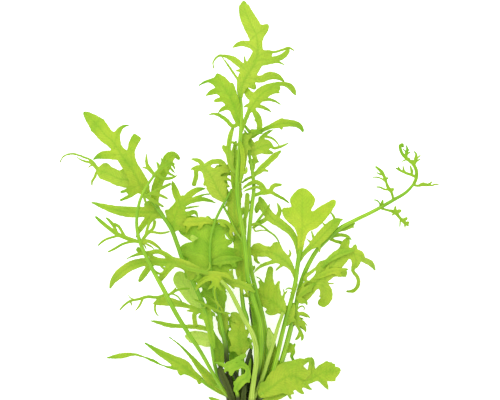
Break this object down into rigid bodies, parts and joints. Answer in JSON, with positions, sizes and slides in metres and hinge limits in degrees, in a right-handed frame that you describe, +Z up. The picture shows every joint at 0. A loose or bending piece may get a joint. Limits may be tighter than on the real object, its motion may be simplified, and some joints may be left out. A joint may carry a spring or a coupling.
{
  "type": "broadleaf water sprite",
  "caption": "Broadleaf water sprite, an aquarium fern picked with its crown and roots, lying on its side with its leaves fanned out.",
  "frame": {"origin": "the middle of the crown's flat underside, on the surface that the plant lies on", "axes": "+X across the plant, to the right as seen from above with the crown nearest; +Y from the crown to the top leaf; +Z up from the surface"},
  "size_m": [0.191, 0.2386, 0.0381],
  "materials": {
    "leaf": "living fern leaf, bright yellow-green, soft satin, slightly see-through",
    "shaded_leaf": "living fern leaf, deeper green, soft satin, slightly see-through",
    "pale_leaf": "pale leaf underside and young stem, yellow-green, matt, slightly see-through",
    "stem": "smooth ribbed green stem, satin",
    "crown": "dark olive-brown fibrous rhizome, matt",
    "root": "fine dark brown roots, matt"
  },
  "bodies": {
    "root": {"arch_leaf": "leaf", "centre_broad_leaf": "shaded_leaf", "centre_high_leaf": "leaf", "centre_leaf_stem": "stem", "centre_small_leaf": "shaded_leaf", "crown": "crown", "fern_curl_leaf": "leaf", "fern_leaflet_1": "leaf", "fern_leaflet_2": "leaf", "fern_leaflet_3": "leaf", "fern_side_leaf": "leaf", "fern_tip": "leaf", "fork_leaf": "leaf", "front_fountain_leaf": "leaf", "front_left_leaf": "leaf", "front_stem": "pale_leaf", "left_fan_leaf": "leaf", "left_fern_leaflet_1": "leaf", "left_fern_leaflet_2": "leaf", "left_fern_leaflet_3": "leaf", "left_fern_leaflet_4": "leaf", "left_fern_stem": "stem", "left_fern_tip": "leaf", "left_leaf_stem": "stem", "left_long_leaf": "leaf", "left_needle": "leaf", "left_strap_leaf": "leaf", "left_tendril_leaf": "leaf", "left_top_leaf": "leaf", "low_leaf": "leaf", "low_left_blade": "leaf", "low_left_frond": "leaf", "low_left_leaf": "leaf", "low_right_leaf": "leaf", "low_right_stem": "stem", "middle_leaf": "leaf", "node_leaf": "leaf", "pale_back_leaf": "leaf", "pale_left_leaf": "pale_leaf", "pale_stem": "pale_leaf", "pale_strap_leaf": "pale_leaf", "right_back_leaf": "leaf", "right_cluster_leaf": "leaf", "right_fan_leaf": "leaf", "right_fern_stem": "stem", "right_leaf_stem": "stem", "roots": "root", "second_stem": "stem", "side_spray": "leaf", "small_right_leaf": "leaf", "tall_left_leaf": "leaf", "tall_right_leaf": "leaf", "tall_sprig": "leaf", "tall_stem": "stem", "tall_top_leaf": "leaf", "upper_right_leaf_1": "leaf", "upper_right_leaf_2": "leaf", "upper_right_leaf_3": "leaf"}
  },
  "joints": []
}
